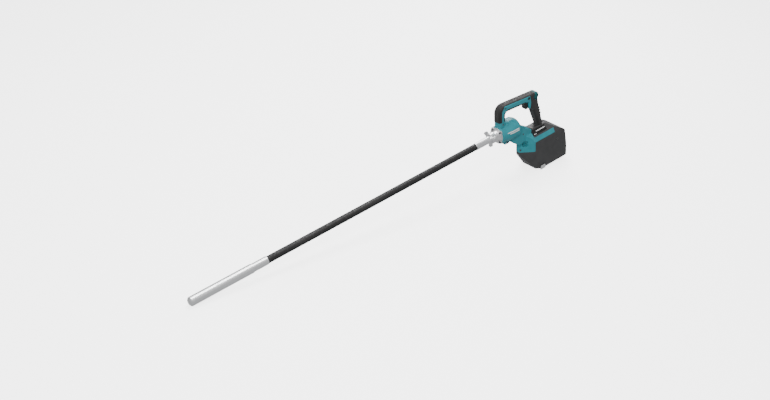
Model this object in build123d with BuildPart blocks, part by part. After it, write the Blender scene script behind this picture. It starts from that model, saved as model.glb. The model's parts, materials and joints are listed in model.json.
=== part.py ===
"""Cordless concrete vibrator: drive unit with a D-handle and a battery box, straight hose, steel head.

The tool frame used for modelling has its origin where the drive axis meets the front flange.
+X runs back along the drive axis, +Z is up through the handle, -Y is the tool's left side.
At the end every piece is stood on the floor: the head's nose and the box's front edge touch it.
"""
from build123d import *
import math
import os

os.makedirs("parts", exist_ok=True)

# ------------------------------------------------------------------ driving dimensions (mm)
WALL = 3.0                     # moulded plastic wall
RUN = 0.05                     # radial running clearance
FREE = 0.4                     # gap between pieces that move past each other
FAR = 400.0                    # longer than anything it has to cut

# drive line, front to rear
HEAD_R = 15.0
HEAD_BORE_R = 11.5
HEAD_LENGTH = 230.0
NOSE_CHAMFER = 4.0
NECK_R = 13.5
NECK_LENGTH = 56.0
HOSE_R = 12.0
LINER_R = 8.4
LINER_BORE_R = 5.6
CORE_R = 4.5
HOSE_LENGTH = 903.0
SLEEVE_R = 12.4
SLEEVE_FRONT = -105.0

# drive housing
BARREL_FRONT = 3.0
BARREL_REAR = 99.0
BARREL_NOSE_R = 33.0
BARREL_R = 38.5
DOME_X = 80.0                  # the barrel rounds off behind this station
FAN_BAY_X = 60.0
MOTOR_BORE_R = 29.0
FAN_BAY_R = BARREL_R - WALL
FLANGE_R = 29.0
FLANGE_BOLT_R = 26.0
PILLAR_END = 11.0
FOOT_PAD_Z = -46.0

# battery box
BOX_HALF_WIDTH = 44.0
BOX_REAR = 332.0
BOX_BOTTOM = -203.0
BOX_FRONT_BOTTOM = 172.0
DECK_Z = -40.0
SHOULDER_Y = 37.0
SHOULDER_Z = -62.0
BAND_BOTTOM = -79.0
TEAL_BOTTOM = -116.0
CHIN_Z = -128.0                # below this the bow rakes back
CHIN_RAKE = 38.0               # how far the bow has moved back at the bottom
SPLIT_X = 155.0                # teal bow in front, black box behind
BAND_REAR = 256.0
LEAD_WAY_X = 211.0
LEAD_WAY_R = 6.0
COVER_PLAY = 0.2               # end play of the latches between their lugs
LUG = 2.0                      # thickness of a latch lug

# handle
HANDLE_HALF_WIDTH = 16.0
HANDLE_ROUND = 8.0
HANDLE_FOOT_Z = 52.0
SKIN = 2.5                     # rubber grip thickness
CAP_X = 187.0
CAP_Z = 86.5
CAP_R = 14.0
CAP_ROUND = 9.0

HOSE_REAR = SLEEVE_FRONT
HOSE_FRONT = HOSE_REAR - HOSE_LENGTH
HEAD_SHOULDER = HOSE_FRONT - NECK_LENGTH
HEAD_TIP = HEAD_SHOULDER - HEAD_LENGTH

pieces = []
cord_pieces = []


def finish(builder, name, on_cord=False):
    """Label a finished piece and keep it for writing."""
    builder.part.label = name
    if on_cord:
        cord_pieces.append(builder)
    else:
        pieces.append(builder)


def tube(x_from, x_to, outer, inner=0.0, mode=Mode.ADD):
    """Add or cut a turned ring, tube or rod on the drive axis."""
    with BuildSketch(Plane.YZ.offset(x_from)) as ring:
        Circle(outer)
        if inner:
            Circle(inner, mode=Mode.SUBTRACT)
    extrude(ring.sketch, amount=x_to - x_from, mode=mode)


def block(x, y, z, mode=Mode.ADD):
    """Add, cut or keep a box given by its (low, high) pairs."""
    with BuildSketch(Plane.XY.offset(z[0])) as base:
        with Locations(((x[0] + x[1]) / 2, (y[0] + y[1]) / 2)):
            Rectangle(x[1] - x[0], y[1] - y[0])
    extrude(base.sketch, amount=z[1] - z[0], mode=mode)


def crosswise(x, z, y_from, y_to, radius, mode=Mode.ADD):
    """Add or cut a round bar that runs across the tool, along Y."""
    with BuildSketch(Plane.XZ.offset(-y_from)) as disc:
        with Locations((x, z)):
            Circle(radius)
    extrude(disc.sketch, amount=y_from - y_to, mode=mode)


def outline(*corners, grow=0.0):
    """Add a closed face through (x, y, radius) corners to the sketch, grown or shrunk by grow."""
    with BuildLine() as line:
        ends = []
        for i, (x, y, radius) in enumerate(corners):
            here = Vector(x, y)
            before = (Vector(*corners[i - 1][:2]) - here).normalized()
            after = (Vector(*corners[(i + 1) % len(corners)][:2]) - here).normalized()
            half = math.radians(before.get_angle(after) / 2)
            reach = radius / math.tan(half)
            middle = (before + after).normalized() * (radius / math.sin(half) - radius)
            ends.append((here + before * reach, here + middle, here + after * reach))
        for i, (start, middle, end) in enumerate(ends):
            if corners[i][2] > 0:
                ThreePointArc(start, middle, end)
            Line(end, ends[(i + 1) % len(ends)][0])
    make_face(line.edges())
    if grow:
        offset(amount=grow)


def side_slab(half_width, *corners, grow=0.0, mode=Mode.ADD):
    """Add, cut or keep a slab with the given side outline, centred on the tool's middle plane."""
    with BuildSketch(Plane.XZ) as side:
        outline(*corners, grow=grow)
    extrude(side.sketch, amount=half_width, both=True, mode=mode)


# ------------------------------------------------------------------ shared outer forms
def box_form(inset):
    """The battery box's outer form, or its cavity when inset: plan, side and cross outlines meet."""
    with BuildPart() as form:
        with BuildSketch(Plane.XY.offset(CHIN_Z)) as plan:
            outline(
                (106, 5, 4),
                (106, -5, 4),
                (SPLIT_X - 4, -BOX_HALF_WIDTH, 16),
                (FAR, -BOX_HALF_WIDTH, 0),
                (FAR, BOX_HALF_WIDTH, 0),
                (SPLIT_X - 4, BOX_HALF_WIDTH, 16),
                grow=-inset,
            )
        extrude(plan.sketch, amount=FAR)
        rake = Vector(CHIN_RAKE, 0, BOX_BOTTOM - CHIN_Z)
        extrude(plan.sketch, amount=rake.length * 1.2, dir=rake)
        with BuildSketch(Plane.XY.offset(-FAR)) as rear_plan:
            with Locations((BOX_REAR / 2, 0)):
                RectangleRounded(BOX_REAR - 2 * inset, 2 * (BOX_HALF_WIDTH - inset), 15 - inset)
        extrude(rear_plan.sketch, amount=2 * FAR, mode=Mode.INTERSECT)
        side_slab(
            FAR,
            (80, -30, 0),
            (106, -108, 20),
            (116, -134, 20),
            (BOX_FRONT_BOTTOM, BOX_BOTTOM, 2),
            (BOX_REAR - 1, BOX_BOTTOM, 3),
            (BOX_REAR - 21, -89, 16),
            (230, DECK_Z, 24),
            (168, DECK_Z, 20),
            (122, -12, 16),
            (84, -10, 0),
            grow=-inset,
            mode=Mode.INTERSECT,
        )
        with BuildSketch(Plane.YZ) as cross:
            outline(
                (-BOX_HALF_WIDTH, BOX_BOTTOM - 20, 0),
                (-BOX_HALF_WIDTH, BAND_BOTTOM, 6),
                (-SHOULDER_Y, SHOULDER_Z, 6),
                (-13, DECK_Z + 1, 8),
                (-13, 20, 0),
                (13, 20, 0),
                (13, DECK_Z + 1, 8),
                (SHOULDER_Y, SHOULDER_Z, 6),
                (BOX_HALF_WIDTH, BAND_BOTTOM, 6),
                (BOX_HALF_WIDTH, BOX_BOTTOM - 20, 0),
                grow=-inset,
            )
        extrude(cross.sketch, amount=FAR, mode=Mode.INTERSECT)
    return form.part


def drive_form(inset):
    """The teal housing's outer form, or its cavity when inset: barrel, pedestal, neck and bow."""
    with BuildPart() as form:
        add(box_form(inset))
        block((0, SPLIT_X), (-80, 80), (TEAL_BOTTOM + inset, 60), mode=Mode.INTERSECT)
        with BuildSketch(Plane.XZ) as barrel:
            with BuildLine() as line:
                if inset:
                    Polyline(
                        (BARREL_FRONT + inset, 0),
                        (BARREL_FRONT + inset, MOTOR_BORE_R),
                        (FAN_BAY_X, MOTOR_BORE_R),
                        (FAN_BAY_X, FAN_BAY_R),
                        (DOME_X, FAN_BAY_R),
                    )
                else:
                    Polyline(
                        (BARREL_FRONT, 0),
                        (BARREL_FRONT, BARREL_NOSE_R - 2),
                        (BARREL_FRONT + 2, BARREL_NOSE_R),
                        (18, BARREL_NOSE_R),
                        (50, BARREL_R),
                        (DOME_X, BARREL_R),
                    )
                rear = BARREL_REAR - inset
                ThreePointArc((DOME_X, BARREL_R - inset), (93 - inset, 29 - inset / 2), (rear, 16))
                Polyline((rear, 16), (rear, 0), (BARREL_FRONT + inset, 0))
            make_face(line.edges())
        revolve(barrel.sketch, axis=Axis.X)
        # pedestal that carries the handle's front leg
        with BuildSketch(Plane.XY.offset(10)) as pedestal:
            with Locations((17.5, 0)):
                RectangleRounded(29 - 2 * inset, 32 - 2 * inset, HANDLE_ROUND - inset)
        extrude(pedestal.sketch, amount=HANDLE_FOOT_Z - 10 - inset)
        # neck from the barrel down into the box
        side_slab(
            22 - inset,
            (58, -46, 0),
            (58, 6, 0),
            (98, 10, 10),
            (124, -18, 20),
            (SPLIT_X, -34, 0),
            (SPLIT_X, -70, 0),
            (92, -72, 0),
            grow=-inset,
        )
        # foot pad under the barrel
        if not inset:
            side_slab(
                13,
                (26, -20, 0),
                (28, FOOT_PAD_Z, 4),
                (52, FOOT_PAD_Z, 4),
                (56, -20, 0),
            )
    return form.part


HANDLE_CORNERS = (
    (0.5, 0, 0),
    (0.5, 114.5, 30),
    (192, 99.5, 18),
    (200, 55, 30),
    (225, 0, 0),
    (204, 0, 0),
    (172, 37, 12),
    (152, 47, 9),
    (148, 75, 5),
    (31.5, 83.5, 10),
    (31.5, 0, 0),
)


def handle_form(inset, rounding):
    """The D-handle as a solid bent bar; the feet are extended so that an inset keeps its length."""
    corners = list(HANDLE_CORNERS)
    corners[0] = (0.5, HANDLE_FOOT_Z - inset, 0)
    corners[4] = (224.5, DECK_Z - inset, 0)
    corners[5] = (202.5, DECK_Z - inset, 0)
    corners[10] = (31.5, HANDLE_FOOT_Z - inset, 0)
    with BuildPart() as form:
        side_slab(HANDLE_HALF_WIDTH - inset, *corners, grow=-inset)
        if rounding:
            rims = form.faces().filter_by(Axis.Y).edges()
            feet = (HANDLE_FOOT_Z, DECK_Z)
            fillet([rim for rim in rims if min(abs(rim.center().Z - foot) for foot in feet) > 1], rounding)
    return form.part


box_outer = box_form(0)
box_cavity = box_form(WALL)
drive_outer = drive_form(0)
drive_cavity = drive_form(WALL)
handle_outer = handle_form(0, HANDLE_ROUND)
handle_core = handle_form(SKIN, HANDLE_ROUND - SKIN)
handle_cavity = handle_form(SKIN + 2.5, 0)

# ------------------------------------------------------------------ fasteners
SCREW_R = 2.0
SCREW_HEAD_R = 3.6
SCREW_HEAD = 2.6
BOX_SCREW_HEAD = 1.8           # how far the box screws stand proud
BOSS_R = 4.6
HOUSING_SCREWS = ((40, -39, 13), (17.5, 42, 13), (114, -36, 19), (112, -106, 9))
HANDLE_SCREWS = ((29, 101, 13.2), (208, -8, 13.2))
LOCK_X = 147.0
LOCK_Z = 93.0
LOCK_R = 4.5


def case_screw(x, z, half, grow, mode=Mode.ADD):
    """A pan-head case screw across the tool, its head on the left; grow gives its clearance hole."""
    crosswise(x, z, -half, half - 3, SCREW_R + grow, mode=mode)
    crosswise(x, z, -half - SCREW_HEAD - 20 * grow, -half, SCREW_HEAD_R + grow, mode=mode)


def hex_recess(plane, radius=2.0, depth=1.4):
    """Cut the socket of a screw whose head's outer face lies on the plane, facing its normal."""
    with BuildSketch(plane) as hexagon:
        RegularPolygon(radius, 6)
    extrude(hexagon.sketch, amount=-depth, mode=Mode.SUBTRACT)


def ring_of_rods(x_from, x_to, radius, mode=Mode.ADD):
    """Four rods along the drive axis on the flange's bolt circle."""
    with BuildSketch(Plane.YZ.offset(x_from)) as rods:
        with PolarLocations(FLANGE_BOLT_R, 4, start_angle=45):
            Circle(radius)
    extrude(rods.sketch, amount=x_to - x_from, mode=mode)


# ------------------------------------------------------------------ drive housing halves
# arms of the housing that run back along the box's upper edges
with BuildPart() as arms:
    add(box_outer)
    add(box_cavity, mode=Mode.SUBTRACT)
    block((SPLIT_X - 1, BAND_REAR), (-80, 80), (BAND_BOTTOM, SHOULDER_Z + 1), mode=Mode.INTERSECT)
    block((0, FAR), (-SHOULDER_Y, SHOULDER_Y), (-FAR, FAR), mode=Mode.SUBTRACT)

VENT_ARCS = ((8, 60), (13, 52), (18, 42), (23, 34))    # radius and half angle of each slot
VENT_WIDTH = 2.4

with BuildPart() as housing_bosses:
    ring_of_rods(BARREL_FRONT + 1, PILLAR_END, BOSS_R - 1)
    for x, z, half in HOUSING_SCREWS:
        crosswise(x, z, -half, half, BOSS_R)
    add(drive_outer, mode=Mode.INTERSECT)

with BuildPart() as housing:
    add(drive_outer)
    add(drive_cavity, mode=Mode.SUBTRACT)
    add(arms.part)
    # front opening and the four pillars that the flange screws enter
    tube(BARREL_FRONT, BARREL_FRONT + WALL, 12.5, mode=Mode.SUBTRACT)
    add(housing_bosses.part)
    ring_of_rods(BARREL_FRONT, PILLAR_END, SCREW_R + 0.1, mode=Mode.SUBTRACT)
    for x, z, half in HOUSING_SCREWS:
        case_screw(x, z, half, 0.05, mode=Mode.SUBTRACT)
    # curved air slots in the bow's two faces
    for side in (1, -1):
        slot_plane = Plane(origin=(127, side * 24, -80), x_dir=(1, side, 0), z_dir=(-1, side, 0))
        with BuildSketch(slot_plane) as slots:
            with Locations((10, 0)):
                for radius, half_angle in VENT_ARCS:
                    arc = Edge.make_circle(radius, start_angle=180 - half_angle, end_angle=180 + half_angle)
                    SlotArc(arc, VENT_WIDTH)
        extrude(slots.sketch, amount=14, both=True, mode=Mode.SUBTRACT)

with BuildPart() as housing_left:
    add(housing.part)
    block((-FAR, FAR), (-FAR, 0), (-FAR, FAR), mode=Mode.INTERSECT)
finish(housing_left, "housing_left")

with BuildPart() as housing_right:
    add(housing.part)
    block((-FAR, FAR), (0, FAR), (-FAR, FAR), mode=Mode.INTERSECT)
finish(housing_right, "housing_right")

# ------------------------------------------------------------------ handle shells and grips
TRIGGER_SLOT = ((116, 172), (-9.4, 9.4), (44, 84))
TEAL_BAND = (
    (12, 40, 0),
    (12, 94, 14),
    (26, 109.5, 6),
    (154, 99, 0),
    (159, 72, 8),
    (155, 40, 0),
    (140, 40, 0),
    (136, 84, 8),
    (40, 93.5, 12),
    (22, 82, 10),
    (22, 40, 0),
)

with BuildPart() as handle_bosses:
    for x, z, half in HANDLE_SCREWS:
        crosswise(x, z, -half, half, BOSS_R)
    add(handle_core, mode=Mode.INTERSECT)

# the band of bare plastic along the middle of the handle's sides
with BuildPart() as bare_band:
    add(handle_outer)
    add(handle_core, mode=Mode.SUBTRACT)
    side_slab(40, *TEAL_BAND, mode=Mode.INTERSECT)

with BuildPart() as handle:
    add(handle_core)
    add(bare_band.part)
    add(handle_cavity, mode=Mode.SUBTRACT)
    crosswise(CAP_X, CAP_Z, -30, 30, CAP_R, mode=Mode.SUBTRACT)
    add(handle_bosses.part)
    for x, z, half in HANDLE_SCREWS:
        case_screw(x, z, half, 0.05, mode=Mode.SUBTRACT)
    block(*TRIGGER_SLOT, mode=Mode.SUBTRACT)
    crosswise(LOCK_X, LOCK_Z, -30, 30, LOCK_R + FREE, mode=Mode.SUBTRACT)

with BuildPart() as handle_left:
    add(handle.part)
    block((-FAR, FAR), (-FAR, 0), (-FAR, FAR), mode=Mode.INTERSECT)
finish(handle_left, "handle_shell_left")

with BuildPart() as handle_right:
    add(handle.part)
    block((-FAR, FAR), (0, FAR), (-FAR, FAR), mode=Mode.INTERSECT)
finish(handle_right, "handle_shell_right")


RIB_Z = (8, 20, 32)
RIB_HALF_WIDTH = 12.5
RIB_X = 216.6                  # the ribs' crests reach this station at the height of the drive axis
RIB_LEAN = 0.258               # and follow the grip's back forwards as they rise


def grip_skin():
    """The rubber layer over the handle core, everywhere but the teal band."""
    add(handle_outer)
    add(handle_core, mode=Mode.SUBTRACT)
    side_slab(40, *TEAL_BAND, mode=Mode.SUBTRACT)
    crosswise(CAP_X, CAP_Z, -30, 30, CAP_R, mode=Mode.SUBTRACT)


with BuildPart() as grip_front:
    grip_skin()
    side_slab(
        40,
        (-20, 40, 0),
        (-20, 128, 0),
        (8, 128, 0),
        (26, 100, 0),
        (16, 80, 0),
        (16, 40, 0),
        mode=Mode.INTERSECT,
    )
finish(grip_front, "grip_front_leg")

with BuildPart() as grip_top:
    grip_skin()
    side_slab(40, (8, 128, 0), (26, 100, 0), (60, 98, 0), (153, 92, 0), (153, 128, 0), mode=Mode.INTERSECT)
finish(grip_top, "grip_top_bar")

with BuildPart() as grip_inner:
    grip_skin()
    side_slab(
        40,
        (18, 40, 0),
        (18, 84, 0),
        (38, 98, 0),
        (134, 90, 0),
        (116, 60, 0),
        (60, 40, 0),
        mode=Mode.INTERSECT,
    )
    block(*TRIGGER_SLOT, mode=Mode.SUBTRACT)
finish(grip_inner, "grip_inner")

with BuildPart() as grip_rear:
    grip_skin()
    side_slab(
        40,
        (153, 128, 0),
        (153, 40, 0),
        (190, -60, 0),
        (260, -60, 0),
        (260, 128, 0),
        mode=Mode.INTERSECT,
    )
    # three raised ribs on the back of the grip
    for z in RIB_Z:
        side_slab(
            RIB_HALF_WIDTH,
            (190, z - 3, 0),
            (190, z + 3, 0),
            (RIB_X - RIB_LEAN * (z + 2), z + 2, 1.2),
            (RIB_X - RIB_LEAN * (z - 2), z - 2, 1.2),
        )
    add(handle_core, mode=Mode.SUBTRACT)
    block(*TRIGGER_SLOT, mode=Mode.SUBTRACT)
    for x, z, half in HANDLE_SCREWS:
        crosswise(x, z, -30, -half, SCREW_HEAD_R + FREE, mode=Mode.SUBTRACT)
finish(grip_rear, "grip_rear_leg")

with BuildPart() as handle_cap:
    crosswise(CAP_X, CAP_Z, -HANDLE_HALF_WIDTH - 0.5, HANDLE_HALF_WIDTH + 0.5, CAP_R)
    fillet(handle_cap.faces().filter_by(Axis.Y).edges(), CAP_ROUND)
finish(handle_cap, "handle_end_cap")

with BuildPart() as trigger:
    side_slab(
        8.8,
        (124, 79.5, 2),
        (152, 79.5, 2),
        (159.4, 70, 2),
        (159.4, 52, 2),
        (149, 49, 4),
        (138, 48, 4),
        (136, 62, 10),
    )
    block((158, 170), (-2, 2), (58, 62))
finish(trigger, "trigger")

with BuildPart() as lock_button:
    crosswise(LOCK_X, LOCK_Z, -18, 14, LOCK_R)
    chamfer(lock_button.faces().filter_by(Axis.Y).edges(), 0.8)
finish(lock_button, "lock_button")

with BuildPart() as trigger_switch:
    block((166, 184), (-8.5, 8.5), (46, 69))
    chamfer(trigger_switch.faces().sort_by(Axis.X)[-1].edges(), 1)
    # pocket that takes the trigger's stem through its travel
    block((166, 178), (-2.5, 2.5), (57.5, 62.5), mode=Mode.SUBTRACT)
finish(trigger_switch, "trigger_switch")

with BuildPart() as case_screws:
    for x, z, half in HOUSING_SCREWS + HANDLE_SCREWS:
        case_screw(x, z, half, 0)
        hex_recess(Plane(origin=(x, -half - SCREW_HEAD, z), z_dir=(0, -1, 0)))
finish(case_screws, "case_screws")

# ------------------------------------------------------------------ motor
BEARING_WIDTH = 8.0
FRONT_PLATE_X = 12.0
STATOR = (29.0, 52.0)
COIL = 5.0
FAN = (61.0, 69.0)
REAR_PLATE_X = 72.0
SHAFT_R = 5.0
ROTOR_R = 16.9

with BuildPart() as motor_plate_front:
    tube(FRONT_PLATE_X, FRONT_PLATE_X + 3, MOTOR_BORE_R, 6)
    tube(FRONT_PLATE_X + 3, FRONT_PLATE_X + 3 + BEARING_WIDTH, 16, 13)
finish(motor_plate_front, "motor_plate_front")

with BuildPart() as motor_bearing_front:
    tube(FRONT_PLATE_X + 3, FRONT_PLATE_X + 3 + BEARING_WIDTH, 13, SHAFT_R + RUN)
finish(motor_bearing_front, "motor_bearing_front")

with BuildPart() as stator_core:
    tube(STATOR[0], STATOR[1], MOTOR_BORE_R, ROTOR_R + 0.5)
    with BuildSketch(Plane.YZ.offset(STATOR[0])) as stator_slots:
        with PolarLocations(21.5, 12):
            SlotOverall(6, 3)
    extrude(stator_slots.sketch, amount=STATOR[1] - STATOR[0], mode=Mode.SUBTRACT)
finish(stator_core, "stator_core")

with BuildPart() as stator_windings:
    tube(STATOR[0] - COIL, STATOR[0], 26, ROTOR_R + 1.5)
    tube(STATOR[1], STATOR[1] + COIL, 26, ROTOR_R + 1.5)
finish(stator_windings, "stator_windings")

with BuildPart() as rotor_core:
    tube(STATOR[0] + 1, STATOR[1] - 1, ROTOR_R, SHAFT_R)
finish(rotor_core, "rotor_core")

with BuildPart() as rotor_shaft:
    tube(-2, REAR_PLATE_X + 12, SHAFT_R)
    tube(-14, -2, 7.5)
    with BuildSketch(Plane.YZ.offset(-14)) as socket:
        Rectangle(7.2, 7.2)
    extrude(socket.sketch, amount=10, mode=Mode.SUBTRACT)
finish(rotor_shaft, "rotor_shaft")

with BuildPart() as cooling_fan:
    tube(FAN[0], FAN[1], 9, SHAFT_R)
    tube(FAN[0], FAN[0] + 2, 31, 8)
    with BuildSketch(Plane.YZ.offset(FAN[0] + 2)) as fan_blades:
        with PolarLocations(19.5, 9):
            Rectangle(22, 2.2)
    extrude(fan_blades.sketch, amount=FAN[1] - FAN[0] - 2)
finish(cooling_fan, "cooling_fan")

with BuildPart() as motor_plate_rear:
    tube(REAR_PLATE_X, REAR_PLATE_X + 3, FAN_BAY_R, 6)
    tube(REAR_PLATE_X + 3, REAR_PLATE_X + 3 + BEARING_WIDTH, 14, 11)
    with BuildSketch(Plane.YZ.offset(REAR_PLATE_X)) as air_holes:
        with PolarLocations(24, 8):
            Circle(6)
    extrude(air_holes.sketch, amount=3, mode=Mode.SUBTRACT)
finish(motor_plate_rear, "motor_plate_rear")

with BuildPart() as motor_bearing_rear:
    tube(REAR_PLATE_X + 3, REAR_PLATE_X + 3 + BEARING_WIDTH, 11, SHAFT_R + RUN)
finish(motor_bearing_rear, "motor_bearing_rear")

# ------------------------------------------------------------------ front flange and hose coupling
COLLAR = (-22.0, -15.0)        # the sleeve's collar, held between the flange and the nut
COLLAR_R = 15.5
NUT_FRONT = -34.0
LUG_TIP_R = 31.0

with BuildPart() as front_flange:
    tube(0, BARREL_FRONT, FLANGE_R)
    ring_of_rods(0, BARREL_FRONT, 7)
    with BuildSketch(Plane.XZ) as cone:
        with BuildLine() as line:
            Polyline((COLLAR[1], 0), (COLLAR[1], 17), (-4, 21), (0, 21), (0, 0), close=True)
        make_face(line.edges())
    revolve(cone.sketch, axis=Axis.X)
    tube(COLLAR[1], BARREL_FRONT, 9, mode=Mode.SUBTRACT)
    ring_of_rods(0, BARREL_FRONT, SCREW_R + 0.1, mode=Mode.SUBTRACT)
finish(front_flange, "front_flange")

with BuildPart() as flange_screws:
    ring_of_rods(0, PILLAR_END - 1, SCREW_R)
    ring_of_rods(-3.2, 0, 4)
    for quarter in range(4):
        turn = math.radians(45 + 90 * quarter)
        head = (-3.2, FLANGE_BOLT_R * math.cos(turn), FLANGE_BOLT_R * math.sin(turn))
        hex_recess(Plane(origin=head, z_dir=(-1, 0, 0)), radius=2.3, depth=2)
finish(flange_screws, "flange_screws")

with BuildPart() as coupling_nut:
    tube(NUT_FRONT, COLLAR[1] - FREE, 19)
    with BuildSketch(Plane.YZ.offset(NUT_FRONT + 1)) as lugs:
        with PolarLocations(0, 3, start_angle=30):
            with Locations((24, 0)):
                RectangleRounded(2 * (LUG_TIP_R - 24), 12, 3)
    extrude(lugs.sketch, amount=9)
    tube(NUT_FRONT, COLLAR[0] - FREE, SLEEVE_R + FREE, mode=Mode.SUBTRACT)
    tube(COLLAR[0] - FREE, COLLAR[1], COLLAR_R + FREE, mode=Mode.SUBTRACT)
    chamfer(coupling_nut.faces().sort_by(Axis.X)[0].edges(), 0.8)
finish(coupling_nut, "coupling_nut")

SKIVED_R = 10.4
SKIVED_LENGTH = 30.0
LINER_REAR = -28.0
HOSE_IN_NECK = 22.0
LINER_IN_NECK = 32.0

with BuildPart() as hose_sleeve:
    tube(SLEEVE_FRONT, COLLAR[1], SLEEVE_R)
    tube(COLLAR[0], COLLAR[1], COLLAR_R)
    tube(SLEEVE_FRONT, SLEEVE_FRONT + SKIVED_LENGTH, SKIVED_R, mode=Mode.SUBTRACT)
    tube(SLEEVE_FRONT, LINER_REAR, LINER_R, mode=Mode.SUBTRACT)
    tube(LINER_REAR, COLLAR[1], LINER_BORE_R, mode=Mode.SUBTRACT)
    chamfer(hose_sleeve.faces().sort_by(Axis.X)[0].edges().sort_by(SortBy.RADIUS)[-1], 0.8)
finish(hose_sleeve, "hose_sleeve")

# the hose lies straight from the neck to the sleeve; its rear end is skived to enter the sleeve
with BuildPart() as hose:
    tube(HOSE_FRONT - HOSE_IN_NECK, HOSE_REAR, HOSE_R, LINER_R)
    tube(HOSE_REAR, HOSE_REAR + SKIVED_LENGTH, SKIVED_R, LINER_R)
finish(hose, "hose", on_cord=True)

with BuildPart() as hose_liner:
    tube(HOSE_FRONT - LINER_IN_NECK, LINER_REAR, LINER_R, LINER_BORE_R)
finish(hose_liner, "hose_liner", on_cord=True)

# ------------------------------------------------------------------ vibrating head
NOSE_LENGTH = 13.0
SPIGOT = 14.0
FRONT_BEARING_X = HEAD_TIP + 22.0
REAR_BEARING_X = HEAD_SHOULDER - 36.0
SEAL_X = HEAD_SHOULDER - 18.0
JOURNAL_R = 4.0
FLATS_ACROSS = 24.0

with BuildPart() as head_neck:
    tube(HEAD_SHOULDER, HOSE_FRONT, NECK_R)
    tube(HEAD_SHOULDER - SPIGOT, HEAD_SHOULDER, HEAD_BORE_R)
    tube(HOSE_FRONT - HOSE_IN_NECK, HOSE_FRONT, HOSE_R, mode=Mode.SUBTRACT)
    tube(HOSE_FRONT - LINER_IN_NECK, HOSE_FRONT, LINER_R, mode=Mode.SUBTRACT)
    tube(HEAD_SHOULDER - SPIGOT, HOSE_FRONT, LINER_BORE_R, mode=Mode.SUBTRACT)
    for side in (1, -1):
        block(
            (HEAD_SHOULDER + 2, HEAD_SHOULDER + 15),
            tuple(sorted((side * FLATS_ACROSS / 2, side * 20))),
            (-20, 20),
            mode=Mode.SUBTRACT,
        )
finish(head_neck, "head_neck")

with BuildPart() as head_tube:
    tube(HEAD_TIP + NOSE_LENGTH, HEAD_SHOULDER, HEAD_R, HEAD_BORE_R)
    chamfer(head_tube.faces().sort_by(Axis.X)[-1].edges().sort_by(SortBy.RADIUS)[-1], 1)
finish(head_tube, "head_tube")

with BuildPart() as head_cap:
    tube(HEAD_TIP, HEAD_TIP + NOSE_LENGTH, HEAD_R)
    chamfer(head_cap.faces().sort_by(Axis.X)[0].edges(), NOSE_CHAMFER)
    tube(HEAD_TIP + NOSE_LENGTH, FRONT_BEARING_X, HEAD_BORE_R)
finish(head_cap, "head_cap")

with BuildPart() as head_bearing_front:
    tube(FRONT_BEARING_X, FRONT_BEARING_X + BEARING_WIDTH, HEAD_BORE_R, JOURNAL_R + RUN)
finish(head_bearing_front, "head_bearing_front")

with BuildPart() as head_bearing_rear:
    tube(REAR_BEARING_X, REAR_BEARING_X + BEARING_WIDTH, HEAD_BORE_R, JOURNAL_R + RUN)
finish(head_bearing_rear, "head_bearing_rear")

with BuildPart() as head_seal:
    tube(SEAL_X, HEAD_SHOULDER - SPIGOT, HEAD_BORE_R, CORE_R + FREE)
finish(head_seal, "head_seal")

with BuildPart() as eccentric_weight:
    tube(FRONT_BEARING_X + 0.5, REAR_BEARING_X + BEARING_WIDTH + 0.4, JOURNAL_R)
    tube(REAR_BEARING_X + BEARING_WIDTH + 0.4, SEAL_X - 0.6, 7)
    with BuildSketch(Plane.YZ.offset(FRONT_BEARING_X + BEARING_WIDTH + 3)) as half_round:
        Circle(HEAD_BORE_R - 0.9)
        with Locations((0, HEAD_R)):
            Rectangle(2 * HEAD_R, 2 * HEAD_R, mode=Mode.SUBTRACT)
    extrude(half_round.sketch, amount=REAR_BEARING_X - FRONT_BEARING_X - BEARING_WIDTH - 7)
    with BuildSketch(Plane.YZ.offset(SEAL_X - 0.6)) as head_socket:
        Rectangle(6.2, 6.2)
    extrude(head_socket.sketch, amount=-6.4, mode=Mode.SUBTRACT)
finish(eccentric_weight, "eccentric_weight")

with BuildPart() as flexible_core:
    tube(SEAL_X - 0.2, -14.6, CORE_R)
    with BuildSketch(Plane.YZ.offset(-14.6)) as rear_tang:
        Rectangle(6.4, 6.4)
    extrude(rear_tang.sketch, amount=9.6)
    with BuildSketch(Plane.YZ.offset(SEAL_X - 0.2)) as front_tang:
        Rectangle(5.4, 5.4)
    extrude(front_tang.sketch, amount=-6)
finish(flexible_core, "flexible_core")

# ------------------------------------------------------------------ battery box
HINGE_X = 317.0
HINGE_Z = -196.0
HINGE_PIN_R = 1.5
KNUCKLE_R = 3.5
KNUCKLE_HALF = 33.4
COVER = (-201.5, -198.0)       # bottom and top faces of the closed cover
LATCH_X = (180.0, 203.0)
LATCH_PIN_Y = 47.2
LATCH_PIN_Z = -190.0
BOX_SCREWS = ((270, -112),)


def cover_opening(grow):
    """The face of the bottom opening, which the cover fills."""
    outline(
        (181, -23, 2),
        (197, -39.5, 4),
        (325, -39.5, 6),
        (325, 39.5, 6),
        (197, 39.5, 4),
        (181, 23, 2),
        grow=grow,
    )


with BuildPart() as box_shell:
    add(box_outer)
    add(box_cavity, mode=Mode.SUBTRACT)

with BuildPart() as box_top:
    add(box_shell.part)
    block((SPLIT_X, FAR), (-80, 80), (BAND_BOTTOM, 60), mode=Mode.INTERSECT)
    for side in (1, -1):
        arm_y = tuple(sorted((side * SHOULDER_Y, side * 80)))
        block((SPLIT_X, BAND_REAR), arm_y, (BAND_BOTTOM, SHOULDER_Z + 1), mode=Mode.SUBTRACT)
    # way through for the leads in the rear leg
    with BuildSketch(Plane.XY.offset(-60)) as lead_way:
        with Locations((LEAD_WAY_X, 0)):
            Circle(LEAD_WAY_R)
    extrude(lead_way.sketch, amount=40, mode=Mode.SUBTRACT)
finish(box_top, "box_top")

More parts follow.
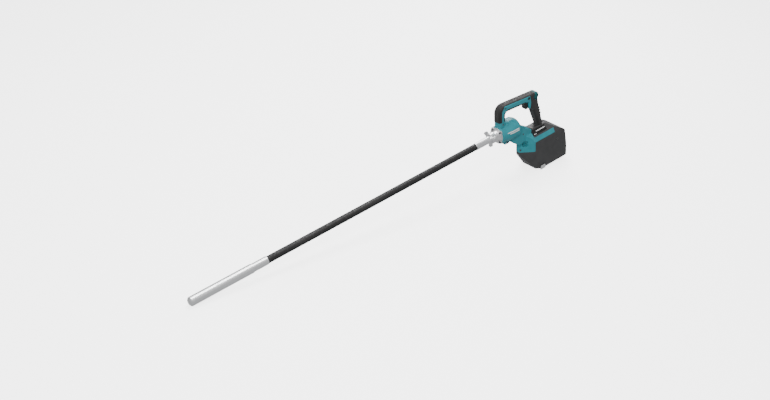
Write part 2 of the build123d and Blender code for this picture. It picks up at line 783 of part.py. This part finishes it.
# roof under the drive housing and front wall of the battery bay
with BuildPart() as partitions:
    block((80, SPLIT_X + WALL), (-80, 80), (TEAL_BOTTOM - WALL, TEAL_BOTTOM))
    block((SPLIT_X, SPLIT_X + WALL), (-80, 80), (TEAL_BOTTOM, BAND_BOTTOM))
    add(box_cavity, mode=Mode.INTERSECT)

with BuildPart() as battery_box:
    add(box_shell.part)
    block((0, FAR), (-80, 80), (-FAR, BAND_BOTTOM), mode=Mode.INTERSECT)
    block((0, SPLIT_X), (-80, 80), (TEAL_BOTTOM, 0), mode=Mode.SUBTRACT)
    add(partitions.part)
    # guides beside the battery, and lugs for the hinge pin
    for side in (1, -1):
        block((198, 268), tuple(sorted((side * 38, side * 42))), (-188, -84))
        block((311, 323), tuple(sorted((side * 34, side * 42))), (-200.5, -190))
        for end in (LATCH_X[0] - COVER_PLAY - LUG, LATCH_X[1] + COVER_PLAY):
            block((end, end + LUG), tuple(sorted((side * 38.5, side * 49.6))), (-193, -187))
    with BuildSketch(Plane.XY.offset(BOX_BOTTOM - 1)) as opening:
        cover_opening(0)
    extrude(opening.sketch, amount=WALL + 1.2, mode=Mode.SUBTRACT)
    crosswise(HINGE_X, HINGE_Z, -39, 39, HINGE_PIN_R, mode=Mode.SUBTRACT)
    for side in (1, -1):
        with BuildSketch(Plane.YZ.offset(LATCH_X[0] - COVER_PLAY - LUG)) as pin_hole:
            with Locations((side * LATCH_PIN_Y, LATCH_PIN_Z)):
                Circle(HINGE_PIN_R)
        extrude(pin_hole.sketch, amount=LATCH_X[1] - LATCH_X[0] + 2 * (COVER_PLAY + LUG), mode=Mode.SUBTRACT)
    for x, z in BOX_SCREWS:
        crosswise(x, z, -60, 60, SCREW_R, mode=Mode.SUBTRACT)
finish(battery_box, "battery_box")

with BuildPart() as box_screws:
    for x, z in BOX_SCREWS:
        for side in (1, -1):
            crosswise(x, z, side * 40.5, side * BOX_HALF_WIDTH, SCREW_R)
            head_top = side * (BOX_HALF_WIDTH + BOX_SCREW_HEAD)
            crosswise(x, z, side * BOX_HALF_WIDTH, head_top, SCREW_HEAD_R)
            hex_recess(Plane(origin=(x, head_top, z), z_dir=(0, side, 0)))
finish(box_screws, "box_screws")

with BuildPart() as battery_cover:
    with BuildSketch(Plane.XY.offset(COVER[0])) as plate:
        cover_opening(-FREE)
    extrude(plate.sketch, amount=COVER[1] - COVER[0])
    for side in (1, -1):
        block((305, 340), tuple(sorted((side * KNUCKLE_HALF, side * 60))), (-210, -190), mode=Mode.SUBTRACT)
    block((HINGE_X, 340), (-60, 60), (-210, -190), mode=Mode.SUBTRACT)
    block((HINGE_X - 3, HINGE_X), (-KNUCKLE_HALF, KNUCKLE_HALF), (COVER[0], HINGE_Z))
    crosswise(HINGE_X, HINGE_Z, -KNUCKLE_HALF, KNUCKLE_HALF, KNUCKLE_R)
    crosswise(HINGE_X, HINGE_Z, -KNUCKLE_HALF, KNUCKLE_HALF, HINGE_PIN_R + RUN, mode=Mode.SUBTRACT)
finish(battery_cover, "battery_cover")

with BuildPart() as cover_seal:
    with BuildSketch(Plane.XY.offset(COVER[1])) as seal_ring:
        cover_opening(-3)
        cover_opening_inner = offset(amount=-3, mode=Mode.PRIVATE)
        add(cover_opening_inner, mode=Mode.SUBTRACT)
    extrude(seal_ring.sketch, amount=1.5)
    block((300, 340), (-60, 60), (-210, -190), mode=Mode.SUBTRACT)
finish(cover_seal, "cover_seal")

with BuildPart() as cover_hinge_pin:
    crosswise(HINGE_X, HINGE_Z, -39, 39, HINGE_PIN_R)
finish(cover_hinge_pin, "cover_hinge_pin")

for side, name in ((-1, "latch_left"), (1, "latch_right")):
    with BuildPart() as latch:
        with BuildSketch(Plane.YZ.offset(LATCH_X[0])) as hook:
            with Locations((side * LATCH_PIN_Y, LATCH_PIN_Z)):
                Circle(2.6)
            with Locations((side * (LATCH_PIN_Y + 1.4), LATCH_PIN_Z - 6)):
                Rectangle(2.2, 12)
            with Locations((side * (LATCH_PIN_Y - 0.6), LATCH_PIN_Z - 11.2)):
                Rectangle(4, 2)
            with Locations((side * LATCH_PIN_Y, LATCH_PIN_Z)):
                Circle(HINGE_PIN_R + RUN, mode=Mode.SUBTRACT)
        extrude(hook.sketch, amount=LATCH_X[1] - LATCH_X[0])
    finish(latch, name)

with BuildPart() as latch_pins:
    for side in (1, -1):
        with BuildSketch(Plane.YZ.offset(LATCH_X[0] - COVER_PLAY - LUG)) as pin:
            with Locations((side * LATCH_PIN_Y, LATCH_PIN_Z)):
                Circle(HINGE_PIN_R)
        extrude(pin.sketch, amount=LATCH_X[1] - LATCH_X[0] + 2 * (COVER_PLAY + LUG))
finish(latch_pins, "latch_pins")

LABEL_X = 191.0                # middle of the shoulder panels
LABEL_LENGTH = 70.0
LABEL_WIDTH = 21.0
LABEL_THICKNESS = 0.8
STRIPE_THICKNESS = 0.25
STRIPE_ANGLE = 21.0            # degrees above the side's middle
STRIPE_SWEEP = 6.0
STRIPE_REAR = 76.0
TAPER = (18.0, 50.0)           # the barrel widens between these two stations


def barrel_radius(x):
    """Outside radius of the barrel's tapered front stretch."""
    return BARREL_NOSE_R + (BARREL_R - BARREL_NOSE_R) * (x - TAPER[0]) / (TAPER[1] - TAPER[0])


# label panels on the two shoulders
SHOULDER_SLOPE = math.atan2(DECK_Z + 1 - SHOULDER_Z, SHOULDER_Y - 13)
for side, name in ((-1, "label_left"), (1, "label_right")):
    panel_plane = Plane(
        origin=(LABEL_X, side * (13 + SHOULDER_Y) / 2, (DECK_Z + 1 + SHOULDER_Z) / 2),
        x_dir=(1, 0, 0),
        z_dir=(0, side * math.sin(SHOULDER_SLOPE), math.cos(SHOULDER_SLOPE)),
    )
    with BuildPart() as label:
        with BuildSketch(panel_plane) as panel:
            RectangleRounded(LABEL_LENGTH, LABEL_WIDTH, 3)
        extrude(panel.sketch, amount=LABEL_THICKNESS)
    finish(label, name)
    with BuildPart() as stripes:
        with BuildSketch(panel_plane.offset(LABEL_THICKNESS)) as bars:
            with Locations((8, -1.3 * side)):
                RectangleRounded(46, 3.4, 1)
            with Locations((-24, 6.5 * side)):
                RectangleRounded(13, 2.2, 0.8)
        extrude(bars.sketch, amount=STRIPE_THICKNESS)
    finish(stripes, name.replace("label", "label_stripes"))

# two plain stripes along each side of the barrel
for side, name in ((-1, "barrel_stripes_left"), (1, "barrel_stripes_right")):
    with BuildPart() as barrel_stripes:
        for angle, x_from in ((STRIPE_ANGLE, 24), (STRIPE_ANGLE - 9, 33)):
            start = math.radians(angle if side < 0 else 180 - angle - STRIPE_SWEEP)
            outwards = Vector(0, -math.cos(start), math.sin(start))
            stripe_plane = Plane(origin=(0, 0, 0), x_dir=(1, 0, 0), z_dir=Vector(1, 0, 0).cross(outwards))
            with BuildSketch(stripe_plane) as section:
                with BuildLine() as line:
                    Polyline(
                        (x_from, barrel_radius(x_from)),
                        (TAPER[1], BARREL_R),
                        (STRIPE_REAR, BARREL_R),
                        (STRIPE_REAR, BARREL_R + STRIPE_THICKNESS),
                        (TAPER[1], BARREL_R + STRIPE_THICKNESS),
                        (x_from, barrel_radius(x_from) + STRIPE_THICKNESS),
                        close=True,
                    )
                make_face(line.edges())
            revolve(section.sketch, axis=Axis.X, revolution_arc=STRIPE_SWEEP)
    finish(barrel_stripes, name)

# ------------------------------------------------------------------ battery and electrics
BATTERY_X = (200.0, 266.0)
BATTERY_HALF = 37.4
BATTERY_Z = (-195.5, -80.5)
BATTERY_ROUND = 8.0
RELEASE_HALF = 14.0            # battery release button
RELEASE_X = (198.0, 203.5)
RELEASE_Z = (-185.5, -165.5)
RELEASE_POCKET_DEPTH = 9.0
CONTROLLER_X = (136.0, 153.0)
CONTROLLER_HALF = 19.0
CONTROLLER_TOP = -58.0
FIN_COUNT = 6
FIN_PITCH = 6.0
FIN_HEIGHT = 3.0
LEAD_R = 2.2

with BuildPart() as battery_pack:
    with BuildSketch(Plane.XY.offset(BATTERY_Z[0])) as pack_plan:
        with Locations((sum(BATTERY_X) / 2, 0)):
            RectangleRounded(BATTERY_X[1] - BATTERY_X[0], 2 * BATTERY_HALF, BATTERY_ROUND)
    extrude(pack_plan.sketch, amount=BATTERY_Z[1] - BATTERY_Z[0])
    chamfer(battery_pack.faces().sort_by(Axis.Z)[0].edges(), 2)
    block(
        (BATTERY_X[0] - 1, BATTERY_X[0] - 1 + RELEASE_POCKET_DEPTH),
        (-RELEASE_HALF - 0.5, RELEASE_HALF + 0.5),
        (RELEASE_Z[0] - 0.5, RELEASE_Z[1] + 0.5),
        mode=Mode.SUBTRACT,
    )
finish(battery_pack, "battery_pack")

with BuildPart() as battery_release:
    block(RELEASE_X, (-RELEASE_HALF, RELEASE_HALF), RELEASE_Z)
    fillet(battery_release.edges().filter_by(Axis.X), 2)
finish(battery_release, "battery_release")

with BuildPart() as terminal_block:
    block((224, 250), (-9, 9), (-62, 0))
    add(box_cavity, mode=Mode.INTERSECT)
    block((212, 254), (-20, 20), (-80.1, -60))
finish(terminal_block, "terminal_block")

with BuildPart() as controller:
    block(CONTROLLER_X, (-CONTROLLER_HALF, CONTROLLER_HALF), (TEAL_BOTTOM + WALL, CONTROLLER_TOP))
    with BuildSketch(Plane.YZ.offset(CONTROLLER_X[0])) as fins:
        with GridLocations(FIN_PITCH, 1, FIN_COUNT, 1):
            with Locations((0, -90)):
                Rectangle(2, 30)
    extrude(fins.sketch, amount=-FIN_HEIGHT)
finish(controller, "motor_controller")

with BuildPart() as switch_lead:
    with BuildLine() as lead_path:
        FilletPolyline(
            (180, 0, 46),
            (180, 0, 38),
            (189, 0, 20),
            (199, 0, -10),
            (210, 0, -36),
            (206, 0, -52),
            (SPLIT_X + WALL, 0, -56),
            radius=8,
        )
    with BuildSketch(Plane(origin=lead_path.line @ 0, z_dir=lead_path.line % 0)) as lead_section:
        Circle(LEAD_R)
    sweep(lead_section.sketch, path=lead_path.line)
finish(switch_lead, "switch_lead")

# ------------------------------------------------------------------ stand the tool on the floor
# The head's nose and the box's front edge rest on the floor, so the drive axis dips to the front.
pitch = math.atan2(-BOX_BOTTOM - HEAD_R, BOX_FRONT_BOTTOM - HEAD_TIP - NOSE_CHAMFER)
tilt = Location((0, 0, 0), (0, -math.degrees(pitch), 0))
extent = Compound(children=[piece.part.moved(tilt) for piece in pieces]).bounding_box()
shift = Location((-extent.center().X, -extent.center().Y, -extent.min.Z))
stand = shift * tilt

if __name__ == "__main__":
    for piece in pieces + cord_pieces:
        export_step(piece.part.moved(stand), f"parts/{piece.part.label}.step")
    print(f"{len(pieces + cord_pieces)} pieces, drive axis dips {math.degrees(pitch):.3f} degrees")
    print("tool origin in the row frame:", stand.position, stand.orientation)
    ring_area = math.pi * (HOSE_R**2 - LINER_R**2)
    skived_area = math.pi * (SKIVED_R**2 - LINER_R**2)
    expected = ring_area * (HOSE_LENGTH + HOSE_IN_NECK) + skived_area * SKIVED_LENGTH
    print(f"hose: one straight run of {HOSE_LENGTH:.0f} mm in sight, diameter {2 * HOSE_R:.0f} mm")
    print(f"hose volume {hose.part.volume:.0f}, section times length {expected:.0f} cubic mm")
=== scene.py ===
"""Looks of the cordless concrete vibrator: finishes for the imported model, its hose, and the studio."""

import json
import math

import bmesh
import bpy
from mathutils import Matrix, Vector


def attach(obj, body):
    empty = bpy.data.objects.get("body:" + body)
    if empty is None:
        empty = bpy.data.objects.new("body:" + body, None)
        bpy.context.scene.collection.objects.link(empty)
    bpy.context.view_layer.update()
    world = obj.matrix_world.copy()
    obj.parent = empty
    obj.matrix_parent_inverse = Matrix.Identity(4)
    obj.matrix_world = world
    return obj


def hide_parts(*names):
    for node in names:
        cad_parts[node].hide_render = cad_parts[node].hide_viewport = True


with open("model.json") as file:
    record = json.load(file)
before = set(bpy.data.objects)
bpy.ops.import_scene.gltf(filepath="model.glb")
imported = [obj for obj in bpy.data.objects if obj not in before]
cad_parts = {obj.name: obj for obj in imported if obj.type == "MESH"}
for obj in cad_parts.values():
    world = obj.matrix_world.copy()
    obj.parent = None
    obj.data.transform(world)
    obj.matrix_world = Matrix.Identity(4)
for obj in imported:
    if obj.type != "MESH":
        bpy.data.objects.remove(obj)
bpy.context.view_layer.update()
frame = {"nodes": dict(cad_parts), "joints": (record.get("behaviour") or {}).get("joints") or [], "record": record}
NODES = frame["nodes"]

# The tool frame has its origin on the drive axis at the front flange, +X back along that axis.
JOINTS = {joint["name"]: joint for joint in frame["joints"]}
ORIGIN = Vector(JOINTS["rotor_spin"]["pos_m"])
BACK = Vector(JOINTS["rotor_spin"]["axis"])
SIDE = Vector((0, 1, 0))
UP = BACK.cross(SIDE)
TOOL = Matrix.Translation(ORIGIN) @ Matrix((BACK, SIDE, UP)).transposed().to_4x4()
MM = 0.001


def tool_box(node):
    """Lowest and highest corners of a CAD node in the tool frame, in metres."""
    inverse = TOOL.inverted()
    points = [inverse @ vertex.co for vertex in NODES[node].data.vertices]
    low = Vector([min(point[axis] for point in points) for axis in range(3)])
    high = Vector([max(point[axis] for point in points) for axis in range(3)])
    return low, high


# ---------------------------------------------------------------- camera
CAMERA_AIM = Vector((-0.051, 0.0, 0.098))
CAMERA_AZIMUTH = math.radians(-133.5)
CAMERA_HEIGHT = math.radians(28.83)
CAMERA_ROLL = math.radians(2.9)
CAMERA_DISTANCE = 4.122
CAMERA_LENS = 59.2             # millimetres


def add_camera():
    """Aim the camera at the tool from its front left, slightly rolled."""
    towards = Vector((
        math.cos(CAMERA_HEIGHT) * math.cos(CAMERA_AZIMUTH),
        math.cos(CAMERA_HEIGHT) * math.sin(CAMERA_AZIMUTH),
        math.sin(CAMERA_HEIGHT),
    ))
    data = bpy.data.cameras.new("camera")
    data.lens = CAMERA_LENS
    data.clip_end = 50
    camera = bpy.data.objects.new("camera", data)
    turn = towards.to_track_quat("Z", "Y").to_matrix().to_4x4()
    level = Matrix.Translation(CAMERA_AIM + towards * CAMERA_DISTANCE) @ turn
    camera.matrix_world = level @ Matrix.Rotation(CAMERA_ROLL, 4, "Z")
    bpy.context.scene.collection.objects.link(camera)
    bpy.context.scene.camera = camera


add_camera()


# ---------------------------------------------------------------- finishes
class Finish:
    """A procedural finish: one principled shader and helpers that texture it."""

    def __init__(self, name, roughness=0.5, metallic=0.0, edge=0.6 * MM):
        self.material = bpy.data.materials.new(name)
        self.material.use_nodes = True
        self.tree = self.material.node_tree
        self.shader = self.tree.nodes["Principled BSDF"]
        self.shader.inputs["Roughness"].default_value = roughness
        self.shader.inputs["Metallic"].default_value = metallic
        self.place = self.node("ShaderNodeTexCoord").outputs["Object"]
        soft_edge = self.node("ShaderNodeBevel")
        soft_edge.samples = 4
        soft_edge.inputs["Radius"].default_value = edge
        self.normal = soft_edge.outputs["Normal"]
        self.tree.links.new(self.normal, self.shader.inputs["Normal"])

    def node(self, kind, **inputs):
        """A node of this kind; an input is a value, or another node's output."""
        made = self.tree.nodes.new(kind)
        for name, value in inputs.items():
            socket = made.inputs[name.replace("_", " ")]
            if isinstance(value, bpy.types.NodeSocket):
                self.tree.links.new(value, socket)
            else:
                socket.default_value = value
        return made

    def maths(self, operation, *values):
        """The result of a maths operation on numbers or other nodes' outputs."""
        made = self.tree.nodes.new("ShaderNodeMath")
        made.operation = operation
        for socket, value in zip(made.inputs, values):
            if isinstance(value, bpy.types.NodeSocket):
                self.tree.links.new(value, socket)
            else:
                socket.default_value = value
        return made.outputs[0]

    def along(self, direction):
        """Distance of the shaded point along a direction through the tool's origin."""
        offset = self.tree.nodes.new("ShaderNodeVectorMath")
        offset.operation = "SUBTRACT"
        self.tree.links.new(self.place, offset.inputs[0])
        offset.inputs[1].default_value = ORIGIN
        dot = self.tree.nodes.new("ShaderNodeVectorMath")
        dot.operation = "DOT_PRODUCT"
        self.tree.links.new(offset.outputs[0], dot.inputs[0])
        dot.inputs[1].default_value = direction
        return dot.outputs["Value"]

    def tool_place(self, stretch):
        """Tool-frame coordinates, each scaled by its factor in stretch."""
        parts = [
            self.maths("MULTIPLY", self.along(direction), factor)
            for direction, factor in zip((BACK, SIDE, UP), stretch)
        ]
        return self.node("ShaderNodeCombineXYZ", X=parts[0], Y=parts[1], Z=parts[2]).outputs[0]

    def noise(self, scale, detail=2.0, place=None):
        """Smooth noise, over the object's own coordinates unless a place is given."""
        source = place if place is not None else self.place
        return self.node("ShaderNodeTexNoise", Vector=source, Scale=scale, Detail=detail).outputs["Fac"]

    def cells(self, scale):
        """Distance to the nearest of many scattered points."""
        return self.node("ShaderNodeTexVoronoi", Vector=self.place, Scale=scale).outputs["Distance"]

    def remap(self, value, low, high, to_low, to_high):
        """The value's range low..high stretched to to_low..to_high, and clamped there."""
        made = self.node("ShaderNodeMapRange", Value=value)
        made.inputs["From Min"].default_value = low
        made.inputs["From Max"].default_value = high
        made.inputs["To Min"].default_value = to_low
        made.inputs["To Max"].default_value = to_high
        return made.outputs["Result"]

    def edges(self, radius):
        """1 where the surface turns sharply within the radius, 0 on flat stretches."""
        wide = self.node("ShaderNodeBevel")
        wide.samples = 4
        wide.inputs["Radius"].default_value = radius
        flat = self.node("ShaderNodeNewGeometry").outputs["True Normal"]
        dot = self.tree.nodes.new("ShaderNodeVectorMath")
        dot.operation = "DOT_PRODUCT"
        self.tree.links.new(wide.outputs[0], dot.inputs[0])
        self.tree.links.new(flat, dot.inputs[1])
        return self.remap(dot.outputs["Value"], 0.995, 0.86, 0.0, 1.0)

    def mix(self, factor, first, second):
        """A colour between the first, at factor 0, and the second, at factor 1."""
        made = self.tree.nodes.new("ShaderNodeMix")
        made.data_type = "RGBA"
        self.tree.links.new(factor, made.inputs["Factor"])
        for socket, value in zip(("A", "B"), (first, second)):
            target = [s for s in made.inputs if s.name == socket and s.type == "RGBA"][0]
            if isinstance(value, bpy.types.NodeSocket):
                self.tree.links.new(value, target)
            else:
                target.default_value = (*value, 1)
        return [s for s in made.outputs if s.type == "RGBA"][0]

    def colour(self, output):
        self.tree.links.new(output, self.shader.inputs["Base Color"])

    def gloss(self, output):
        self.tree.links.new(output, self.shader.inputs["Roughness"])

    def relief(self, height, distance, strength=1.0):
        """Raise the surface by height times distance; calls add up."""
        bump = self.node("ShaderNodeBump", Height=height, Normal=self.normal)
        bump.inputs["Strength"].default_value = strength
        bump.inputs["Distance"].default_value = distance
        self.normal = bump.outputs["Normal"]
        self.tree.links.new(self.normal, self.shader.inputs["Normal"])


def moulded(name, base, roughness, grain, seam=False, edge_wear_and_highlight=0.25):
    """Moulded plastic: fine spark-eroded grain, faint mottling, edges paler in patches, partly scuffing and partly
    painted highlight.
    """
    finish = Finish(name)
    finish.shader.inputs["Specular IOR Level"].default_value = 0.35
    mottled = finish.remap(finish.noise(38, 4), 0.35, 0.7, 0.0, 1.0)
    darker = [0.92 * value for value in base]
    lighter = [min(1.0, 1.06 * value + 0.002) for value in base]
    body = finish.mix(mottled, darker, lighter)
    # edges painted paler in patches: partly scuffing, partly painted highlight
    rubbed_and_highlit = [min(1.0, 1.5 * value + 0.03) for value in base]
    patches = finish.remap(finish.noise(120, 3), 0.4, 0.62, 0.0, edge_wear_and_highlight)
    wear_and_highlight = finish.maths("MULTIPLY", finish.edges(1.2 * MM), patches)
    body = finish.mix(wear_and_highlight, body, rubbed_and_highlit)
    if seam:
        # the dark parting line where the two halves meet
        off_middle = finish.maths("ABSOLUTE", finish.along(SIDE))
        line = finish.remap(off_middle, 0.12 * MM, 0.3 * MM, 0.0, 1.0)
        body = finish.mix(line, [0.3 * value for value in base], body)
        finish.relief(line, 0.3 * MM)
    finish.colour(body)
    finish.gloss(finish.remap(finish.noise(55, 5), 0.3, 0.7, roughness - 0.06, roughness + 0.09))
    finish.relief(finish.noise(grain, 2), 0.05 * MM, 0.5)
    return finish.material


def rubber(name, base, cell):
    """Soft overmoulded rubber: tight pimples, matte, with a slight sheen and pale dust in the hollows."""
    finish = Finish(name)
    finish.shader.inputs["Specular IOR Level"].default_value = 0.25
    dots = finish.cells(cell)
    finish.relief(finish.remap(dots, 0.1, 0.5, 1.0, 0.0), 0.12 * MM, 0.6)
    dust = finish.remap(finish.noise(26, 4), 0.45, 0.75, 0.0, 0.5)
    finish.colour(finish.mix(dust, base, [value * 1.9 + 0.006 for value in base]))
    finish.gloss(finish.remap(finish.noise(90, 3), 0.3, 0.7, 0.62, 0.82))
    finish.shader.inputs["Sheen Weight"].default_value = 0.15
    return finish.material


TAPE_WIDTH = 0.034
WEAVE_PITCH = 0.0016
WEAVE_COUNT = 48


def hose_rubber(name):
    """Wrapped hose cover: spiral marks of the curing tape over a fine cloth weave."""
    finish = Finish(name)
    angle = finish.maths("ARCTAN2", finish.along(UP), finish.along(SIDE))
    turns = finish.maths("DIVIDE", angle, 2 * math.pi)
    wraps = finish.maths("ADD", finish.maths("MULTIPLY", finish.along(BACK), 1 / TAPE_WIDTH), turns)
    tape = finish.maths("FRACT", wraps)
    off_centre = finish.maths("ABSOLUTE", finish.maths("SUBTRACT", tape, 0.5))
    ridge = finish.remap(off_centre, 0.44, 0.5, 0.0, 1.0)
    finish.relief(ridge, 0.35 * MM, 0.8)
    warp = finish.maths("SINE", finish.maths("MULTIPLY", finish.along(BACK), 2 * math.pi / WEAVE_PITCH))
    weft = finish.maths("SINE", finish.maths("MULTIPLY", turns, 2 * math.pi * WEAVE_COUNT))
    finish.relief(finish.maths("MULTIPLY", warp, weft), 0.1 * MM, 0.5)
    scuffs = finish.remap(finish.noise(14, 6, finish.tool_place((0.3, 1, 1))), 0.5, 0.72, 0.0, 1.0)
    dark = finish.mix(ridge, (0.008, 0.008, 0.0085), (0.02, 0.02, 0.021))
    finish.colour(finish.mix(scuffs, dark, (0.022, 0.0215, 0.021)))
    finish.gloss(finish.remap(finish.noise(60, 3), 0.3, 0.7, 0.5, 0.72))
    return finish.material


def turned_metal(name, base, roughness, ring=900.0):
    """Metal turned about the drive axis: fine rings along it, handling smudges, edges painted brighter, partly
    scuffing and partly painted highlight.
    """
    finish = Finish(name, metallic=1.0, edge=0.4 * MM)
    rings = finish.noise(1.0, 3, finish.tool_place((ring, 18, 18)))
    smudge = finish.remap(finish.noise(24, 5), 0.4, 0.7, 0.0, 1.0)
    dulled = [value * 0.88 for value in base]
    body = finish.mix(smudge, base, dulled)
    # edges painted brighter: partly scuffing, partly painted highlight
    edge_wear_and_highlight = finish.edges(0.8 * MM)
    finish.colour(finish.mix(edge_wear_and_highlight, body, [min(1.0, value * 1.12) for value in base]))
    ringed = finish.remap(rings, 0.3, 0.7, roughness - 0.07, roughness + 0.07)
    finish.gloss(finish.maths("ADD", ringed, finish.remap(smudge, 0.0, 1.0, 0.0, 0.1)))
    finish.relief(rings, 0.03 * MM, 0.35)
    return finish.material


def cast_metal(name, base, roughness):
    """Cast and lightly machined metal: pitted skin with paler edges, partly scuffing and partly painted highlight.
    """
    finish = Finish(name, metallic=1.0)
    pits = finish.noise(420, 4)
    finish.relief(pits, 0.12 * MM, 0.4)
    stain = finish.remap(finish.noise(45, 5), 0.4, 0.75, 0.0, 1.0)
    body = finish.mix(stain, base, [value * 0.8 for value in base])
    # edges painted paler: partly scuffing, partly painted highlight
    rubbed_and_highlit = [min(1.0, value * 1.15) for value in base]
    finish.colour(finish.mix(finish.edges(1.0 * MM), body, rubbed_and_highlit))
    finish.gloss(finish.remap(pits, 0.3, 0.7, roughness - 0.08, roughness + 0.1))
    return finish.material


def wound_copper(name):
    """Varnished copper windings: fine wires side by side about the drive axis."""
    finish = Finish(name, metallic=1.0)
    angle = finish.maths("ARCTAN2", finish.along(UP), finish.along(SIDE))
    wires = finish.maths("SINE", finish.maths("MULTIPLY", angle, 150))
    finish.relief(wires, 0.2 * MM)
    varnish = finish.remap(finish.noise(60, 3), 0.35, 0.7, 0.0, 1.0)
    finish.colour(finish.mix(varnish, (0.66, 0.28, 0.14), (0.42, 0.16, 0.07)))
    finish.gloss(finish.remap(wires, -1, 1, 0.45, 0.3))
    return finish.material


def printed_film(name):
    """Label film: smooth black with a faint orange-peel and fine scratches."""
    finish = Finish(name, edge=0.3 * MM)
    finish.relief(finish.noise(150, 2), 0.05 * MM, 0.3)
    scratches = finish.remap(finish.noise(1.0, 4, finish.tool_place((90, 1600, 1600))), 0.6, 0.78, 0.0, 1.0)
    finish.colour(finish.mix(scratches, (0.005, 0.005, 0.0055), (0.011, 0.011, 0.012)))
    finish.gloss(finish.remap(scratches, 0.0, 1.0, 0.22, 0.42))
    return finish.material


FINISHES = {
    "teal_housing": moulded("teal_housing", (0.023, 0.275, 0.325), 0.34, 1400, seam=True),
    "dark_teal_cap": moulded("dark_teal_cap", (0.002, 0.085, 0.09), 0.42, 1400),
    "grip_rubber": rubber("grip_rubber", (0.019, 0.018, 0.018), 620),
    "black_housing": moulded("black_housing", (0.052, 0.052, 0.053), 0.5, 900, edge_wear_and_highlight=0.35),
    "black_plastic": moulded("black_plastic", (0.005, 0.005, 0.0055), 0.4, 1600),
    "battery_plastic": moulded("battery_plastic", (0.012, 0.012, 0.013), 0.5, 700),
    "label": printed_film("label"),
    "stripe_print": moulded("stripe_print", (0.78, 0.8, 0.79), 0.35, 1800, edge_wear_and_highlight=0.1),
    "hose_rubber": hose_rubber("hose_rubber"),
    "liner_rubber": rubber("liner_rubber", (0.04, 0.04, 0.04), 900),
    "soft_rubber": rubber("soft_rubber", (0.02, 0.02, 0.02), 1200),
    "cast_aluminium": cast_metal("cast_aluminium", (0.93, 0.93, 0.94), 0.36),
    "plain_aluminium": turned_metal("plain_aluminium", (0.66, 0.67, 0.68), 0.35),
    "bright_steel": turned_metal("bright_steel", (0.96, 0.965, 0.97), 0.36),
    "copper": wound_copper("copper"),
    "fan_plastic": moulded("fan_plastic", (0.08, 0.08, 0.085), 0.5, 1000),
    "dark_steel": turned_metal("dark_steel", (0.2, 0.2, 0.21), 0.34, ring=1500.0),
}
for part in frame["record"]["subparts"]:
    mesh = NODES[part["node"]].data
    mesh.materials.clear()
    mesh.materials.append(FINISHES[part["material_slot"]])


def dress(piece, body, slot):
    """Give a new piece its finish, its body and its place in the scene."""
    piece.data.materials.append(FINISHES[slot])
    bpy.context.scene.collection.objects.link(piece)
    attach(piece, body)
    return piece


# ---------------------------------------------------------------- hose
HOSE_DIAMETER = 0.024


def add_hose():
    """The hose as one straight cord from the silver sleeve to the head's neck."""
    mouth = tool_box("hose_sleeve")[0].x
    neck = tool_box("head_neck")[1].x
    curve = bpy.data.curves.new("hose_cover", "CURVE")
    curve.dimensions = "3D"
    curve.bevel_depth = HOSE_DIAMETER / 2
    curve.bevel_resolution = 7
    curve.resolution_u = 24
    spline = curve.splines.new("NURBS")
    steps = 6
    spline.points.add(steps)
    for number, point in enumerate(spline.points):
        along = mouth + (neck - mouth) * number / steps
        point.co = (*(TOOL @ Vector((along, 0, 0))), 1)
    spline.order_u = 3
    spline.use_endpoint_u = True
    hose = dress(bpy.data.objects.new("hose_cover", curve), "drive_unit", "hose_rubber")
    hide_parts("hose", "hose_liner")


add_hose()


# ---------------------------------------------------------------- floor and light
LAMP_AIM = Vector((0.0, 0.0, 0.15))
FLOOR_HALF = 20
FLOOR_GLOW = 3.2               # seen by the camera only, so it doesn't light the tool
SKY_STRENGTH = 0.5


def add_area(name, position, size, power):
    """A square area lamp aimed at the middle of the tool."""
    data = bpy.data.lights.new(name, "AREA")
    data.size = size
    data.energy = power
    lamp = bpy.data.objects.new(name, data)
    position = Vector(position)
    turn = (position - LAMP_AIM).to_track_quat("Z", "Y").to_matrix().to_4x4()
    lamp.matrix_world = Matrix.Translation(position) @ turn
    bpy.context.scene.collection.objects.link(lamp)


def add_studio():
    """A pale paper floor, an even sky and three soft lamps."""
    shape = bmesh.new()
    bmesh.ops.create_grid(shape, x_segments=1, y_segments=1, size=FLOOR_HALF)
    mesh = bpy.data.meshes.new("floor")
    shape.to_mesh(mesh)
    shape.free()
    floor = bpy.data.objects.new("floor", mesh)
    bpy.context.scene.collection.objects.link(floor)
    paper = bpy.data.materials.new("floor_paper")
    paper.use_nodes = True
    shader = paper.node_tree.nodes["Principled BSDF"]
    shader.inputs["Base Color"].default_value = (0.93, 0.93, 0.93, 1)
    shader.inputs["Roughness"].default_value = 0.9
    shader.inputs["Emission Color"].default_value = (1.0, 1.0, 1.0, 1)
    shader.inputs["Emission Strength"].default_value = FLOOR_GLOW
    mesh.materials.append(paper)
    floor.visible_diffuse = False
    floor.visible_glossy = False
    world = bpy.data.worlds.new("studio")
    world.use_nodes = True
    sky = world.node_tree.nodes["Background"]
    sky.inputs["Color"].default_value = (0.97, 0.985, 1.0, 1)
    sky.inputs["Strength"].default_value = SKY_STRENGTH
    bpy.context.scene.world = world
    add_area("key", (-1.9, -1.6, 2.4), 1.2, 78)
    add_area("top", (0.2, 0.5, 2.6), 1.4, 70)
    add_area("rim", (2.0, 1.6, 1.6), 1.2, 40)


add_studio()
